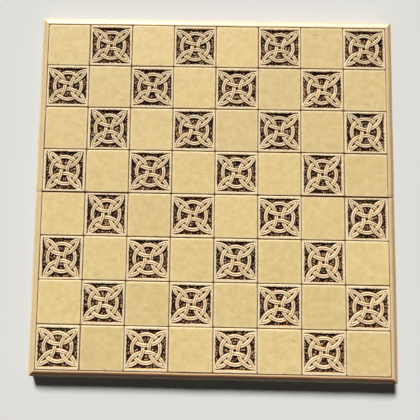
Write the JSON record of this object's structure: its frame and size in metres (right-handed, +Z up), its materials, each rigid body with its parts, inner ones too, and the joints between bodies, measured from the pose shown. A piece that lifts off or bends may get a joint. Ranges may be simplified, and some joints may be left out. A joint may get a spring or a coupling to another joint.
{
  "type": "folding chess board",
  "caption": "Square folding chess board of cast stone tiles, with interlace knots on the dark squares, a moulded rim and a seam hinged underneath.",
  "frame": {"origin": "on the table under the middle of the board, below the seam", "axes": "+X along the seam to the player's right, +Y away from the player, +Z up"},
  "size_m": [0.3774, 0.3776, 0.0185],
  "materials": {
    "cast_rim": "cast, waxed antique ivory",
    "plain_tile": "smooth cast, waxed",
    "knot_tile": "cast relief with dark brown stain in the hollows",
    "bedding": "brown stained mortar",
    "hinge_brass": "dull drawn brass",
    "screw_brass": "turned brass",
    "pin_steel": "drawn wire",
    "felt": "pressed wool felt"
  },
  "bodies": {
    "near_half": {"near_tray": "cast_rim", "near_tile_bed": "bedding", "knot_tile_a1": "knot_tile", "knot_tile_c1": "knot_tile", "knot_tile_e1": "knot_tile", "knot_tile_g1": "knot_tile", "plain_tiles_rank_1": "plain_tile", "knot_tile_b2": "knot_tile", "knot_tile_d2": "knot_tile", "knot_tile_f2": "knot_tile", "knot_tile_h2": "knot_tile", "plain_tiles_rank_2": "plain_tile", "knot_tile_a3": "knot_tile", "knot_tile_c3": "knot_tile", "knot_tile_e3": "knot_tile", "knot_tile_g3": "knot_tile", "plain_tiles_rank_3": "plain_tile", "knot_tile_b4": "knot_tile", "knot_tile_d4": "knot_tile", "knot_tile_f4": "knot_tile", "knot_tile_h4": "knot_tile", "plain_tiles_rank_4": "plain_tile", "left_hinge_near_leaf": "hinge_brass", "right_hinge_near_leaf": "hinge_brass", "near_hinge_screws": "screw_brass", "near_felt_pads": "felt"},
    "far_half": {"far_tray": "cast_rim", "far_tile_bed": "bedding", "knot_tile_a5": "knot_tile", "knot_tile_c5": "knot_tile", "knot_tile_e5": "knot_tile", "knot_tile_g5": "knot_tile", "plain_tiles_rank_5": "plain_tile", "knot_tile_b6": "knot_tile", "knot_tile_d6": "knot_tile", "knot_tile_f6": "knot_tile", "knot_tile_h6": "knot_tile", "plain_tiles_rank_6": "plain_tile", "knot_tile_a7": "knot_tile", "knot_tile_c7": "knot_tile", "knot_tile_e7": "knot_tile", "knot_tile_g7": "knot_tile", "plain_tiles_rank_7": "plain_tile", "knot_tile_b8": "knot_tile", "knot_tile_d8": "knot_tile", "knot_tile_f8": "knot_tile", "knot_tile_h8": "knot_tile", "plain_tiles_rank_8": "plain_tile", "left_hinge_far_leaf": "hinge_brass", "right_hinge_far_leaf": "hinge_brass", "left_hinge_pin": "pin_steel", "right_hinge_pin": "pin_steel", "far_hinge_screws": "screw_brass", "far_felt_pads": "felt"}
  },
  "joints": [
    {"name": "fold", "type": "hinge", "parent": "near_half", "child": "far_half", "pos_m": [0, 0, 0.0021], "axis": [-1, 0, 0], "range_deg": [0, 178]}
  ]
}
